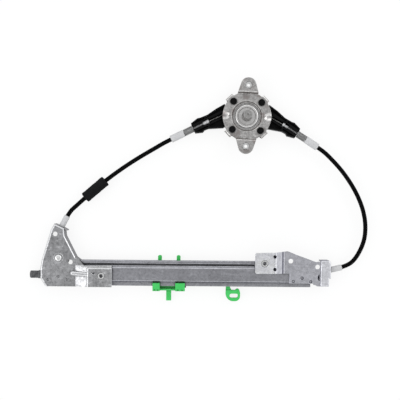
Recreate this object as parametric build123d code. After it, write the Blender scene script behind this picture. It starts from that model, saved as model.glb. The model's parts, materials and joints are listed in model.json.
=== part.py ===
from build123d import *
from math import acos, asin, atan2, cos, hypot, pi, radians, sin, sqrt, tan
import os

# Hand-crank cable window regulator, in millimetres.
# +Z runs along the crank shaft towards the cabin, +X along the rail, +Y away from the rail.
# The origin is on the crank axis, in the plane of the faces that bolt to the door.

os.makedirs("parts", exist_ok=True)

# Heights above the mounting plane
PLATE_TOP = -5.0
COVER_TOP = -6.0
CABLE_Z = -14.0
FLOOR_Z = -25.0

# Sheet thicknesses and bend radii
SHEET = 1.5
RAIL_SHEET = 1.3
COVER_SHEET = 2.0
BEND = 1.0

# Clearances
RUN = 0.05
GAP = 0.3
LOOSE = 1.0

# Half-size of the blocks that cut away everything past a plane
WIDE = 400.0

# Crank unit
UNIT_TURN = -2.2
COVER_R = 35.3
DISH_R = 21.9
DISH_DEPTH = 2.5
COVER_HOLE_R = DISH_R - 2.6
EAR_HOLE_Y = COVER_R + 8.9
EAR_TIP_R = 11.2
EAR_BASE_HALF = 14.8
EAR_BASE_Y = COVER_R - 2.7
EAR_RAMP = 1.2
PEG_PITCH = (DISH_R + COVER_R) / sqrt(2) + 0.36
PEG_HEAD_R = 5.0
PEG_HEAD_H = 2.8
PEG_SHANK_R = 3.0
CLAW_REACH = COVER_R + 3.4
CLAW_WIDTH = 11.5
CLAW_DROP = 8.0
CLAW_SHEET = 1.8
BEAD_INNER_R = DISH_R + 2.1
BEAD_FLAT = 4.3
BEAD_HALF = COVER_R - BEAD_INNER_R - BEAD_FLAT
BEAD_RISE = 3.0
CUP_R = DISH_R - 4.9
CUP_RISE = 2.6
CUP_RIM = 4.4
CUP_RIM_STEP = 1.4
CUP_EDGE_R = 1.8
CUP_STEP_R = 1.2
CUP_SHEET = 1.4
CUP_FLANGE_R = DISH_R - 0.2
SKIRT_R = 13.0
SKIRT_WALL = 1.1
SHAFT_R = 6.7
SPLINE_R = 6.5
SHAFT_TOP = 20.0
SHAFT_PLAIN_TOP = 3.0
SHAFT_LOW_R = 6.2
SHAFT_STEP_Z = -8.0
SHAFT_SPLINES = 20
SPLINE_DEPTH = 0.7
SHAFT_TIP_R = 5.6
SHAFT_CENTRE_R = 1.9
SHAFT_CENTRE_DEPTH = 1.6
JOURNAL_R = 4.0
DOG_R = 8.6
DRUM_PITCH_R = 16.0
DRUM_FLANGE_R = 19.0
DRUM_TOP = -12.2
DRUM_HEIGHT = 8.4
DRUM_TURNS = 3
WINDING_PITCH = 1.7
HOUSING_R = COVER_R - 0.8
HOUSING_WALL = 4.0
HOUSING_FLOOR = 2.3
BOSS_R = 8.5
CORE_R = 5.2
BRAKE_WIRE_R = 0.6

# Cable and its hardware, measured along each guide line from the mouth of the guide
CABLE_R = 0.9
LEFT_MOUTH = (-HOUSING_R - 20.6, -9.35)
RIGHT_MOUTH = (HOUSING_R + 18.5, -8.7)
LEFT_SLOPE = 28.4
RIGHT_SLOPE = 30.8
NUB_LENGTH = 9.0
NUB_R = 3.4
NUB_NECK_LEFT_R = 3.0
NUB_NECK_RIGHT_R = 2.2
TUBE_R = 1.6
ARM_END = 25.4
SPRING_LENGTH = 15.0
SPRING_R = 5.1
SPRING_WIRE = 1.1
SPRING_TURNS = 12
SLEEVE_LENGTH = 20.7
SLEEVE_R = 5.4
SLEEVE_GRIP = 9.0
CONDUIT_R = 3.25
BORE_R = 1.25
ARM_TOP = -9.0
ARM_FLOOR = -19.6
ARM_WALL = 2.2

# Outline of a housing arm: distance along its guide line, distance to its upper side
ARM_OUTLINE = [(-32.0, 5.0), (-31.5, 12.3), (-17.0, 11.4), (-2.0, 9.0), (9.6, 9.7), (13.2, 10.7),
               (24.8, 8.1), (25.4, 6.0), (25.4, -7.6), (14.6, -11.3), (11.2, -9.5), (5.0, -10.0),
               (-14.7, -18.2), (-19.0, -17.4)]

# Rail
RAIL_LEFT = -291.0
RAIL_RIGHT = 94.7
RAIL_TOP = PLATE_TOP - SHEET
RAIL_LIP_Y = -248.2
RAIL_STEP_Y = -242.9
RAIL_WEB_Y = -241.0
RAIL_CREASE_Y = -222.4
RAIL_STRIP_Y = -220.6
RAIL_GROOVE_Y = -218.0
RAIL_GROOVE_WIDTH = 2.0
RAIL_EDGE_Y = -210.8
RAIL_LIP_DROP = 4.0
RAIL_STRIP_DROP = 0.8
RAIL_BAND_DROP = 1.5
RAIL_GROOVE_DROP = 5.0
RAIL_EDGE_DROP = 6.5
RAIL_BEND = 0.3
RAIL_UPPER_END = 52.0

# Left bracket, pulley and end buffer
PULLEY_X = -271.6
PULLEY_Y = -208.1
PULLEY_PITCH_R = 13.4
PULLEY_WIDTH = 5.6
PULLEY_FLANGE = 1.3
RIVET_R = 4.0
RIVET_HEAD_R = 5.0
RIVET_BOSS_R = 7.3
RIVET_BOSS_H = 0.8
WASHER_T = 1.2
JOINT_R = 2.4
JOINT_FLAT_R = 1.5
JOINT_DEPTH = 1.2
HOLE_R = 3.4
LEFT_HOLES = [(-276.8, -173.5), (-254.4, -214.0)]
FERRULE_WALL_LEFT = (-278.4, -158.6)
FERRULE_WALL_RIGHT = (-259.3, -167.0)
LEFT_SHOULDER = (-283.2, -166.8)
LEFT_EDGE_END = (-296.4, -211.5)
LEFT_DIAGONAL = [(-234.8, -219.0), (-240.4, -211.9), (-246.9, -207.3), (-263.0, -176.0)]
LEFT_NECK = (-264.0, -165.0)
LEFT_JOINTS = [(-287.3, -239.7), (-272.2, -235.1), (-259.0, -239.5)]
RIM_BEND = 1.6
RIB_START = (-251.0, -230.3)
RIB_END = (-226.0, -232.2)
RIB_R = 3.7
RIB_RISE = 3.2
BRACKET_LEFT_X = -298.4
BRACKET_BOTTOM_Y = -249.5
RAMP_LOW_X = -247.0
RAMP_HIGH_X = -230.2
RAMP_HIGH_Z = -1.9
PAD_LEFT_X = -228.9
PAD_RIGHT_X = -193.8
PAD_BEND = 2.5
FOOT_BEND = 0.9
EDGE_ROLL = 1.1
PAD_TOP_Y = -218.6
PAD_SLOPE_Y = -222.9
SLOPE_BEND = 3.0
PAD_NUT = (-209.4, -233.6)
PAD_DIMPLE = (-220.8, -229.5)
BUFFER_Y = -233.0
BUFFER_R = 5.4
BUFFER_LENGTH = 15.6
BUFFER_NECK_R = 2.4

# Right bracket
LUG_LEFT_X = 13.3
LUG_RIGHT_X = 42.2
LUG_TOP_Y = -198.4
LUG_BOTTOM_Y = -228.4
LUG_NUT = (27.2, -213.8)
STEP_LEFT_X = 52.4
STEP_TOP_Z = -1.5
STEP_RIGHT_X = 55.2
PLATE_LEFT_X = 63.4
PLATE_RIGHT_X = 97.1
PLATE_BOTTOM_Y = -242.4
RIGHT_HOLES = [(65.4, -210.1), (104.4, -218.2)]
RIGHT_JOINTS = [(69.3, -239.6), (81.9, -234.5), (94.4, -239.6)]
RIGHT_TOP_EDGE = [(102.5, -211.2), (86.3, -205.3), (73.3, -200.7), (61.5, -195.8), (54.3, -196.4)]
LUG_NOTCHES = (-203.8, -221.9)
NOTCH_R = 2.6
NOTCH_TIP_R = 0.4
NOTCH_DEPTH = 3.2
MOON_AT = (110.3, -233.8)
MOON_R = 6.0
MOON_RIGHT_X = 107.4
BOX_LEFT_X = 108.2
BOX_RIGHT_X = 123.5
BOX_TOP_Y = -208.9
BOX_BOTTOM_Y = -246.4
BOX_STEP_X = 120.6
BOX_STEP_Y = -235.0
BOX_RISE = 1.2
BOX_EDGE_R = 1.3
SHOE_TURN_X = 108.6
SHOE_BEND_R = 20.0
SHOE_THICKNESS = 3.2
RIGHT_RUN_Y = -226.5
RIGHT_ENTRY = 13.1
LEFT_ENTRY = 62.2

# Clinch nuts (M6)
NUT_FLANGE_R = 5.2
NUT_BODY_R = 4.4
NUT_LENGTH = 5.8
NUT_CHAMFER = 0.6
THREAD_R = 2.5

# Glass carrier
CARRIER_LEFT_X = -135.0
CARRIER_FLOOR = -22.4
CARRIER_SLAB = 4.2
CARRIER_TOP_Y = -212.4
CARRIER_BOTTOM_Y = -253.4
JAW_OUT_Y = -255.2
JAW_TOP = -4.6
LEFT_JAW_WIDTH = 10.4
RIGHT_JAW_X = -102.0
RIGHT_JAW_WIDTH = 13.8
STEM_X = -111.9
STEM_WIDTH = 7.2
STEM_END_Y = -270.2
FINGERS_X = (-125.2, -97.8)
FINGER_WIDTH = 5.5
FINGER_END_Y = -204.0
LOOP_LEFT_X = -28.4
LOOP_RIGHT_X = -7.2
LOOP_BOTTOM_Y = -270.3
LOOP_BAR_Y = -254.2
LOOP_HOLE_TOP_Y = -259.3
LOOP_HOLE_BOTTOM_Y = -265.6
LOOP_HOLE_LEFT_X = -22.6
LOOP_HOLE_RIGHT_X = -10.4
ARM_LOW_Y = -246.8
ARM_HIGH_Y = -234.0
NIPPLE_X = -112.0
LINER = 1.5
LINER_Y = -250.4
NIPPLE_R = 1.9
NIPPLE_LENGTH = 7.0
BLOCK_HALF = 12.0

# Hand-picked points of the two conduits between their straight ends
LEFT_ROUTE = [(-131.5, -46.2), (-151.0, -57.6), (-171.5, -70.6), (-190.0, -83.6), (-207.0, -96.6),
              (-222.0, -109.2), (-235.8, -121.4), (-248.2, -132.8)]
RIGHT_ROUTE = [(122.0, -58.6), (137.0, -74.3), (150.8, -92.6), (162.9, -113.2), (171.8, -135.5),
               (175.6, -158.5), (173.4, -181.8), (161.8, -205.6)]
SLEEVE_CORNER = 9.0
LEFT_FERRULE_CORNER = 7.0
RIGHT_FERRULE_CORNER = 8.5
FERRULE_LENGTH = 17.5
FERRULE_GRIP = 8.0
FERRULE_NECK = 3.0
FERRULE_NECK_R = 2.4
KINK_R = 15.0
FERRULE_R = 4.3
FOAM_START = (-205.6, -95.3)
FOAM_END = (-235.2, -120.8)
FOAM_R = 8.2


def prism(points, low, high):
    """A plate between two heights with the given outline."""
    return extrude(Plane.XY.offset(low) * make_face(Polyline(*points, close=True)), high - low)


def disc(radius, low, high, at=(0, 0)):
    """An upright cylinder between two heights."""
    return Pos(at[0], at[1], (low + high) / 2) * Cylinder(radius, high - low)


def tube(outer, inner, low, high, at=(0, 0)):
    """An upright ring between two heights."""
    return disc(outer, low, high, at) - disc(inner, low - 1, high + 1, at)


def block(x, y, z):
    """A box from three (low, high) pairs."""
    middle = Pos((x[0] + x[1]) / 2, (y[0] + y[1]) / 2, (z[0] + z[1]) / 2)
    return middle * Box(x[1] - x[0], y[1] - y[0], z[1] - z[0])


def rod(radius, start, end):
    """A round bar between two points."""
    axis = Vector(*end) - Vector(*start)
    return extrude(Plane(origin=start, z_dir=axis) * Circle(radius), axis.length)


def unit_line(start, end):
    """The direction from one plan point to another."""
    length = hypot(end[0] - start[0], end[1] - start[1])
    return (end[0] - start[0]) / length, (end[1] - start[1]) / length


def sheet_section(points, thickness, inner_bend):
    """Section of a bent sheet. The points follow one face and the sheet lies on their right."""
    shifted = []
    for i, (x, y) in enumerate(points):
        before = unit_line(points[i - 1], points[i]) if i else unit_line(points[0], points[1])
        after = unit_line(points[i], points[i + 1]) if i < len(points) - 1 else before
        normal = (before[1] + after[1], -before[0] - after[0])
        half = (1 + before[0] * after[0] + before[1] * after[1])
        shifted.append((x + thickness * normal[0] / half, y + thickness * normal[1] / half))
    radii = []
    for first, middle, last in zip(points, points[1:], points[2:]):
        before = unit_line(first, middle)
        after = unit_line(middle, last)
        turns_right = before[0] * after[1] - before[1] * after[0] < 0
        radii.append(inner_bend + thickness if turns_right else inner_bend)
    far_radii = [2 * inner_bend + thickness - r for r in radii]
    near = FilletPolyline(*points, radius=radii)
    far = FilletPolyline(*reversed(shifted), radius=list(reversed(far_radii)))
    ends = [Line(points[-1], shifted[-1]), Line(shifted[0], points[0])]
    return make_face([*near.edges(), ends[0], *far.edges(), ends[1]])


def along_x(section, low, high):
    """Extrude a (y, z) section between two x values."""
    return extrude(Plane(origin=(low, 0, 0), x_dir=(0, 1, 0), z_dir=(1, 0, 0)) * section, high - low)


def along_y(section, low, high):
    """Extrude an (x, z) section between two y values."""
    return extrude(Plane(origin=(0, high, 0), x_dir=(1, 0, 0), z_dir=(0, -1, 0)) * section, high - low)


def turned(x, y, angle=UNIT_TURN):
    """Plan point turned about the crank axis."""
    a = radians(angle)
    return x * cos(a) - y * sin(a), x * sin(a) + y * cos(a)


def tangent_point(centre, radius, outside, side):
    """Where the tangent from an outside point touches a circle; side is +1 or -1."""
    dx = outside[0] - centre[0]
    dy = outside[1] - centre[1]
    angle = atan2(dy, dx) + side * acos(radius / hypot(dx, dy))
    return centre[0] + radius * cos(angle), centre[1] + radius * sin(angle)


def clinch_nut(at, top=0.0):
    """Flush threaded nut pressed into a sheet."""
    nut = disc(NUT_FLANGE_R, top - SHEET, top, at) + disc(NUT_BODY_R, top - NUT_LENGTH, top - SHEET, at)
    nut = nut - disc(THREAD_R, top - NUT_LENGTH - 1, top + 1, at)
    return chamfer(nut.edges().filter_by(GeomType.CIRCLE).group_by(Axis.Z)[-1], NUT_CHAMFER)


UNIT = Rot(0, 0, UNIT_TURN)
DRUM_BOTTOM = DRUM_TOP - DRUM_HEIGHT
CUP_TOP = COVER_TOP - DISH_DEPTH - COVER_SHEET + CUP_RISE
CUP_FLANGE_TOP = COVER_TOP - DISH_DEPTH - COVER_SHEET
PEGS = [(x * PEG_PITCH / 2, y * PEG_PITCH / 2) for x in (-1, 1) for y in (-1, 1)]


# Crank unit, modelled square to itself and then turned

def cover_plate():
    """Pressed steel cover with two raised ears, a dished hole, beads and four claws."""
    low = COVER_TOP - COVER_SHEET
    ramp_end = EAR_BASE_Y + EAR_RAMP
    plate = disc(COVER_R, low, COVER_TOP)
    plate -= block((-EAR_BASE_HALF, EAR_BASE_HALF), (EAR_BASE_Y, COVER_R + 1), (low - 1, COVER_TOP + 1))
    plate -= block((-EAR_BASE_HALF, EAR_BASE_HALF), (-COVER_R - 1, -EAR_BASE_Y), (low - 1, COVER_TOP + 1))
    lean = asin((EAR_BASE_HALF - EAR_TIP_R) / (EAR_HOLE_Y - ramp_end))
    shoulder_x = EAR_TIP_R * cos(lean)
    shoulder_y = EAR_HOLE_Y + EAR_TIP_R * sin(lean)
    outline = [(-EAR_BASE_HALF, DISH_R), (EAR_BASE_HALF, DISH_R), (EAR_BASE_HALF, ramp_end),
               (shoulder_x, shoulder_y), (-shoulder_x, shoulder_y), (-EAR_BASE_HALF, ramp_end)]
    shape = prism(outline, low - 1, 1) + disc(EAR_TIP_R, low - 1, 1, (0, EAR_HOLE_Y))
    ear_end = EAR_HOLE_Y + EAR_TIP_R + 1
    section = sheet_section([(DISH_R + 1, COVER_TOP), (EAR_BASE_Y, COVER_TOP), (ramp_end, 0),
                             (ear_end, 0)], COVER_SHEET, BEND)
    ear = along_x(section, -EAR_BASE_HALF - 1, EAR_BASE_HALF + 1) & shape
    ear -= disc(NUT_FLANGE_R + 0.1, -COVER_SHEET - 1, 1, (0, EAR_HOLE_Y))
    plate = plate + ear + Rot(0, 0, 180) * ear
    dish = [(COVER_HOLE_R, COVER_TOP - DISH_DEPTH), (COVER_HOLE_R + 1, COVER_TOP - DISH_DEPTH),
            (DISH_R, COVER_TOP), (DISH_R + 2, COVER_TOP)]
    plate -= disc(DISH_R + 1.5, low - 1, COVER_TOP + 1)
    ring = revolve(Plane.XZ * sheet_section(dish, COVER_SHEET, BEND / 2), Axis.Z)
    plate += ring
    for x, y in PEGS:
        plate -= disc(PEG_SHANK_R, low - 1, COVER_TOP + 1, (x, y))
    bead_r = (BEAD_HALF ** 2 + BEAD_RISE ** 2) / (2 * BEAD_RISE)
    drop = COVER_TOP + BEAD_RISE - bead_r
    for side in (0, 180):
        turn = Rot(0, 0, side)
        inner = bead_r - COVER_SHEET
        start = BEAD_INNER_R + BEAD_HALF
        end = (COVER_R + 5, 0, drop)
        outer_bead = rod(bead_r, (start, 0, drop), end) + Pos(start, 0, drop) * Sphere(bead_r)
        inner_bead = rod(inner, (start, 0, drop), end) + Pos(start, 0, drop) * Sphere(inner)
        keep = disc(COVER_R, low, COVER_TOP + BEAD_RISE + 1) - disc(DISH_R + 1, low - 1, COVER_TOP + 9)
        plate += turn * (outer_bead & keep)
        plate -= turn * (inner_bead & disc(COVER_R + 1, low - 1, 0) - disc(DISH_R + 1, low - 2, 1))
    claw_section = sheet_section([(COVER_R - 3, COVER_TOP), (CLAW_REACH, COVER_TOP),
                                  (CLAW_REACH, COVER_TOP - CLAW_DROP)], CLAW_SHEET, BEND)
    claw = along_y(claw_section, -CLAW_WIDTH / 2, CLAW_WIDTH / 2)
    for quarter in range(4):
        plate += Rot(0, 0, 45 + 90 * quarter) * claw
    return plate


def peg_heads():
    """Black heads of the pegs that hold the cover to the housing."""
    pegs = []
    for at in PEGS:
        head = disc(PEG_HEAD_R, COVER_TOP, COVER_TOP + PEG_HEAD_H, at)
        head = fillet(head.edges().group_by(Axis.Z)[-1], 0.8)
        head -= tube(PEG_HEAD_R - 1.6, PEG_HEAD_R - 2.4, COVER_TOP + PEG_HEAD_H - 0.4, COVER_TOP + 9, at)
        pegs.append(head + disc(PEG_SHANK_R, FLOOR_Z + HOUSING_FLOOR, COVER_TOP, at))
    return pegs


def brake_cup():
    """Steel cap round the shaft, with the skirt that the wrap spring grips."""
    flange = tube(CUP_FLANGE_R, CUP_R - 1, CUP_FLANGE_TOP - CUP_SHEET, CUP_FLANGE_TOP)
    cap = disc(CUP_R, CUP_FLANGE_TOP - CUP_SHEET, CUP_TOP)
    cap = fillet(cap.edges().group_by(Axis.Z)[-1], CUP_EDGE_R)
    cap -= disc(CUP_R - CUP_RIM, CUP_TOP - CUP_RIM_STEP, CUP_TOP + 1)
    rims = cap.edges().filter_by(GeomType.CIRCLE).group_by(Axis.Z)[-1]
    cap = fillet(rims.sort_by(SortBy.RADIUS)[0], CUP_STEP_R)
    skirt = disc(SKIRT_R, DRUM_BOTTOM + 2.6, CUP_FLANGE_TOP)
    cup = cap + flange + skirt
    cup -= disc(SKIRT_R - SKIRT_WALL, DRUM_BOTTOM, CUP_TOP - CUP_RIM_STEP - CUP_SHEET)
    return cup - disc(SHAFT_R + GAP, DRUM_BOTTOM, CUP_TOP + 1)


def wrap_spring():
    """Brake spring wound inside the skirt."""
    radius = SKIRT_R - SKIRT_WALL - BRAKE_WIRE_R - GAP
    pitch = 2.5 * BRAKE_WIRE_R
    low = DRUM_BOTTOM + 3.6
    path = Helix(pitch=pitch, height=2.5 * pitch, radius=radius)
    spring = sweep(Plane(origin=path @ 0, z_dir=path % 0) * Circle(BRAKE_WIRE_R), path=path)
    return Pos(0, 0, low) * spring


def crank_shaft():
    """Splined shaft with a journal at its lower end."""
    spline_low = CUP_TOP - CUP_RIM_STEP - CUP_SHEET - 0.5
    shaft = disc(SPLINE_R, SHAFT_PLAIN_TOP, SHAFT_TOP)
    shaft = chamfer(shaft.edges().group_by(Axis.Z)[-1], SPLINE_R - SHAFT_TIP_R)
    shaft += disc(SHAFT_R, SHAFT_STEP_Z, SHAFT_PLAIN_TOP)
    shaft += disc(SHAFT_LOW_R, spline_low, SHAFT_STEP_Z)
    groove = disc(SPLINE_DEPTH, SHAFT_PLAIN_TOP, SHAFT_TOP + 1, (SPLINE_R + 0.2, 0))
    for i in range(SHAFT_SPLINES):
        shaft -= Rot(0, 0, 360 * i / SHAFT_SPLINES) * groove
    shaft -= Pos(0, 0, SHAFT_TOP - SHAFT_CENTRE_DEPTH / 2) * Cone(0, SHAFT_CENTRE_R, SHAFT_CENTRE_DEPTH)
    core = disc(CORE_R, DRUM_BOTTOM, spline_low)
    journal = disc(JOURNAL_R, FLOOR_Z + 0.6, DRUM_BOTTOM)
    return shaft + core + journal


def drive_dog():
    """Steel dog on the shaft that pushes the ends of the wrap spring."""
    high = CUP_TOP - CUP_RIM_STEP - CUP_SHEET - 0.8
    body = tube(DOG_R, CORE_R, DRUM_BOTTOM + 2.6, high)
    horn_reach = SKIRT_R - SKIRT_WALL - 2 * BRAKE_WIRE_R - 2 * GAP
    horn = block((DOG_R - 1.5, horn_reach), (-2, 2), (high - 1.6, high))
    return body + Rot(0, 0, 200) * horn


def drum():
    """Plastic cable drum with a groove for the windings and a hollow for the brake."""
    body = disc(DRUM_FLANGE_R, DRUM_BOTTOM, DRUM_TOP)
    floor = DRUM_BOTTOM + 2.2
    body -= disc(SKIRT_R + 0.4, floor, DRUM_TOP + 1)
    body += disc(DOG_R - 1.2, floor, floor + 0.4)
    groove_low = CABLE_Z - (DRUM_TURNS - 1) * WINDING_PITCH - CABLE_R - 0.1
    groove_high = CABLE_Z + CABLE_R + GAP
    body -= tube(DRUM_FLANGE_R + 1, DRUM_PITCH_R - CABLE_R, groove_low, groove_high)
    return body - disc(CORE_R, DRUM_BOTTOM - 1, DRUM_TOP + 1)


def drum_windings():
    """Cable wound on the drum, as closed turns side by side."""
    turns = Pos(0, 0, CABLE_Z) * Torus(DRUM_PITCH_R, CABLE_R)
    for i in range(1, DRUM_TURNS):
        turns += Pos(0, 0, CABLE_Z - i * WINDING_PITCH) * Torus(DRUM_PITCH_R, CABLE_R)
    return turns


def housing_arm(side):
    """One arm of the housing: side +1 is right, -1 is left."""
    a = radians(RIGHT_SLOPE if side > 0 else LEFT_SLOPE)
    mouth = RIGHT_MOUTH if side > 0 else LEFT_MOUTH

    def place(t, w):
        return mouth[0] + side * (t * cos(a) + w * sin(a)), mouth[1] - t * sin(a) + w * cos(a)

    outline = [place(t, w) for t, w in ARM_OUTLINE]
    arm = prism(outline, ARM_FLOOR, ARM_TOP)
    inner = offset(make_face(Polyline(*outline, close=True)), -ARM_WALL)
    pocket = extrude(Plane.XY.offset(ARM_FLOOR + 3) * inner, 20)
    rib = prism([place(-WIDE, 5.4), place(WIDE, 5.4), place(WIDE, -5.4), place(-WIDE, -5.4)], ARM_FLOOR, 1)
    cross = prism([place(2, WIDE), place(4, WIDE), place(4, -WIDE), place(2, -WIDE)], ARM_FLOOR, 1)
    arm -= pocket - rib - cross
    touch = tangent_point((0, 0), DRUM_PITCH_R, mouth, side)
    way = Vector(mouth[0] - touch[0], mouth[1] - touch[1], 0)
    slot = extrude(Plane(origin=(touch[0], touch[1], CABLE_Z + 4), x_dir=Vector(0, 0, 1).cross(way),
                         z_dir=way) * Rectangle(5.0, 14.0), way.length + 1)
    seat = prism([place(-1.5, 4.0), place(NUB_LENGTH, 4.0), place(NUB_LENGTH, -4.0),
                  place(-1.5, -4.0)], CABLE_Z - NUB_R, 1)
    gutter = prism([place(0, TUBE_R), place(WIDE, TUBE_R), place(WIDE, -TUBE_R), place(0, -TUBE_R)],
                   CABLE_Z - TUBE_R, 1)
    return arm - slot - seat - gutter


def drum_housing():
    """Black housing behind the cover, with the two arms that hold the cable guides."""
    inner_r = HOUSING_R - HOUSING_WALL
    rim = COVER_TOP - COVER_SHEET
    body = disc(HOUSING_R, FLOOR_Z, rim)
    for quarter in range(4):
        claw_pad = block((HOUSING_R - 3, CLAW_REACH - CLAW_SHEET), (-CLAW_WIDTH / 2, CLAW_WIDTH / 2),
                         (FLOOR_Z + 4, rim - BEND))
        body += Rot(0, 0, 45 + 90 * quarter) * claw_pad
    for side in (-1, 1):
        body += housing_arm(side)
    body -= disc(inner_r, FLOOR_Z + HOUSING_FLOOR, rim + 1)
    for side in (-1, 1):
        mouth = RIGHT_MOUTH if side > 0 else LEFT_MOUTH
        touch = tangent_point((0, 0), DRUM_PITCH_R, mouth, side)
        way = Vector(mouth[0] - touch[0], mouth[1] - touch[1], 0)
        body -= extrude(Plane(origin=(touch[0], touch[1], CABLE_Z + 3), z_dir=way,
                              x_dir=Vector(0, 0, 1).cross(way)) * Rectangle(5.0, 12.0), way.length - 12)
    for at in PEGS:
        body += disc(PEG_SHANK_R + 1.4, FLOOR_Z + HOUSING_FLOOR, rim, at)
        body -= disc(PEG_SHANK_R, FLOOR_Z + HOUSING_FLOOR, rim + 1, at)
    body += disc(BOSS_R, FLOOR_Z + HOUSING_FLOOR, DRUM_BOTTOM - GAP)
    return body - disc(JOURNAL_R + RUN, FLOOR_Z - 1, DRUM_TOP)


def guide_place(side):
    """Plan point and direction of a guide line, in the part's frame."""
    mouth = turned(*(RIGHT_MOUTH if side > 0 else LEFT_MOUTH))
    a = radians(RIGHT_SLOPE if side > 0 else LEFT_SLOPE)
    way = turned(side * cos(a), -sin(a))
    return mouth, way


def on_guide(side, distance):
    """A point on a guide line at the cable's height."""
    mouth, way = guide_place(side)
    return mouth[0] + way[0] * distance, mouth[1] + way[1] * distance, CABLE_Z


def cable_guide(side):
    """White head and tube that lead the cable out of the housing."""
    start = on_guide(side, 0)
    neck = on_guide(side, 3.0)
    neck_r = NUB_NECK_RIGHT_R if side > 0 else NUB_NECK_LEFT_R
    head = rod(NUB_R, start, neck) + rod(neck_r, neck, on_guide(side, NUB_LENGTH))
    stem = rod(TUBE_R, on_guide(side, NUB_LENGTH), on_guide(side, ARM_END + SPRING_LENGTH + 6))
    return head + stem - rod(BORE_R, on_guide(side, -1), on_guide(side, 90))


def tension_spring(side):
    """Coil spring between the arm and the sleeve."""
    mean = SPRING_R - SPRING_WIRE / 2
    length = SPRING_LENGTH - SPRING_WIRE - 0.2
    path = Helix(pitch=length / SPRING_TURNS, height=length, radius=mean)
    coil = sweep(Plane(origin=path @ 0, z_dir=path % 0) * Circle(SPRING_WIRE / 2), path=path)
    start = on_guide(side, ARM_END + SPRING_WIRE / 2 + 0.1)
    way = guide_place(side)[1]
    return Plane(origin=start, z_dir=(way[0], way[1], 0)).location * coil


def sleeve(side):
    """White sleeve that takes the end of the conduit."""
    start = ARM_END + SPRING_LENGTH
    end = start + SLEEVE_LENGTH
    body = rod(SLEEVE_R, on_guide(side, start), on_guide(side, end))
    body = fillet(body.edges().filter_by(GeomType.CIRCLE), 0.7)
    body -= rod(TUBE_R + 0.1, on_guide(side, start - 1), on_guide(side, end + 1))
    return body - rod(CONDUIT_R, on_guide(side, end - SLEEVE_GRIP), on_guide(side, end + 1))


# Where the cables leave the brackets
FERRULE_LEFT = tuple((p + q) / 2 for p, q in zip(FERRULE_WALL_LEFT, FERRULE_WALL_RIGHT))
PULLEY_AT = (PULLEY_X, PULLEY_Y)
LEFT_RUN_Y = PULLEY_Y - PULLEY_PITCH_R
LEFT_FERRULE_WAY = (cos(radians(LEFT_ENTRY)), sin(radians(LEFT_ENTRY)))
RIGHT_FERRULE_WAY = (cos(radians(RIGHT_ENTRY)), sin(radians(RIGHT_ENTRY)))
SHOE_REACH = SHOE_BEND_R * tan(radians(RIGHT_ENTRY) / 2)
FERRULE_RIGHT = (BOX_RIGHT_X, RIGHT_RUN_Y + (BOX_RIGHT_X - SHOE_TURN_X) * tan(radians(RIGHT_ENTRY)))


def ferrule_end(side, distance):
    """A point on a ferrule's axis, measured outwards from its bracket wall."""
    start, way = (FERRULE_RIGHT, RIGHT_FERRULE_WAY) if side > 0 else (FERRULE_LEFT, LEFT_FERRULE_WAY)
    return start[0] + way[0] * distance, start[1] + way[1] * distance


def corner_radii(points):
    """Largest even bends for a line of corners: each takes 45 percent of its shorter run."""
    radii = []
    for first, middle, last in zip(points, points[1:], points[2:]):
        before = Vector(middle[0] - first[0], middle[1] - first[1])
        after = Vector(last[0] - middle[0], last[1] - middle[1])
        half_turn = radians(before.get_angle(after)) / 2
        radii.append(0.45 * min(before.length, after.length) / tan(half_turn))
    return radii


def conduit_points(side):
    """Corner points of a conduit from its sleeve to its ferrule."""
    sleeve_end = ARM_END + SPRING_LENGTH + SLEEVE_LENGTH
    first = on_guide(side, sleeve_end - SLEEVE_GRIP)[:2]
    second = on_guide(side, sleeve_end + SLEEVE_CORNER)[:2]
    route = RIGHT_ROUTE if side > 0 else LEFT_ROUTE
    corner = RIGHT_FERRULE_CORNER if side > 0 else LEFT_FERRULE_CORNER
    return [first, second, *route, ferrule_end(side, FERRULE_LENGTH + corner),
            ferrule_end(side, FERRULE_LENGTH - FERRULE_GRIP)]


def conduit_path(side):
    """Straight runs and tangent arcs along a conduit."""
    points = conduit_points(side)
    return Plane.XY.offset(CABLE_Z) * FilletPolyline(*points, radius=corner_radii(points))


def conduit(side):
    """Black conduit with its bore."""
    path = conduit_path(side)
    start = Plane(origin=path @ 0, z_dir=path % 0)
    body = sweep(start * (Circle(CONDUIT_R) - Circle(BORE_R)), path=path)
    area = pi * (CONDUIT_R ** 2 - BORE_R ** 2)
    print("conduit", side, "radii", [round(r) for r in corner_radii(conduit_points(side))])
    ratio = round(body.volume / area / path.length, 4)
    print("conduit", side, "length", round(path.length, 1), "volume ratio", ratio)
    return body


def cable_start(side):
    """Where the fixed part of a cable begins, just clear of the windings on the drum."""
    mouth = turned(*(RIGHT_MOUTH if side > 0 else LEFT_MOUTH))
    touch = tangent_point((0, 0), DRUM_PITCH_R, mouth, side)
    way = unit_line(touch, mouth)
    skip = sqrt((DRUM_PITCH_R + 2 * CABLE_R + GAP) ** 2 - DRUM_PITCH_R ** 2)
    return touch[0] + way[0] * skip, touch[1] + way[1] * skip


def left_cable_end():
    """Corners of the left cable behind its bracket: neck of the ferrule, round the pulley, along the rail."""
    kink = ferrule_end(-1, -FERRULE_NECK - GAP)
    touch = tangent_point(PULLEY_AT, PULLEY_PITCH_R, kink, 1)
    way = unit_line(kink, touch)
    corner = (touch[0] + way[0] * (LEFT_RUN_Y - touch[1]) / way[1], LEFT_RUN_Y)
    return [kink, corner, (PULLEY_X + 2, LEFT_RUN_Y)]


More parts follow.
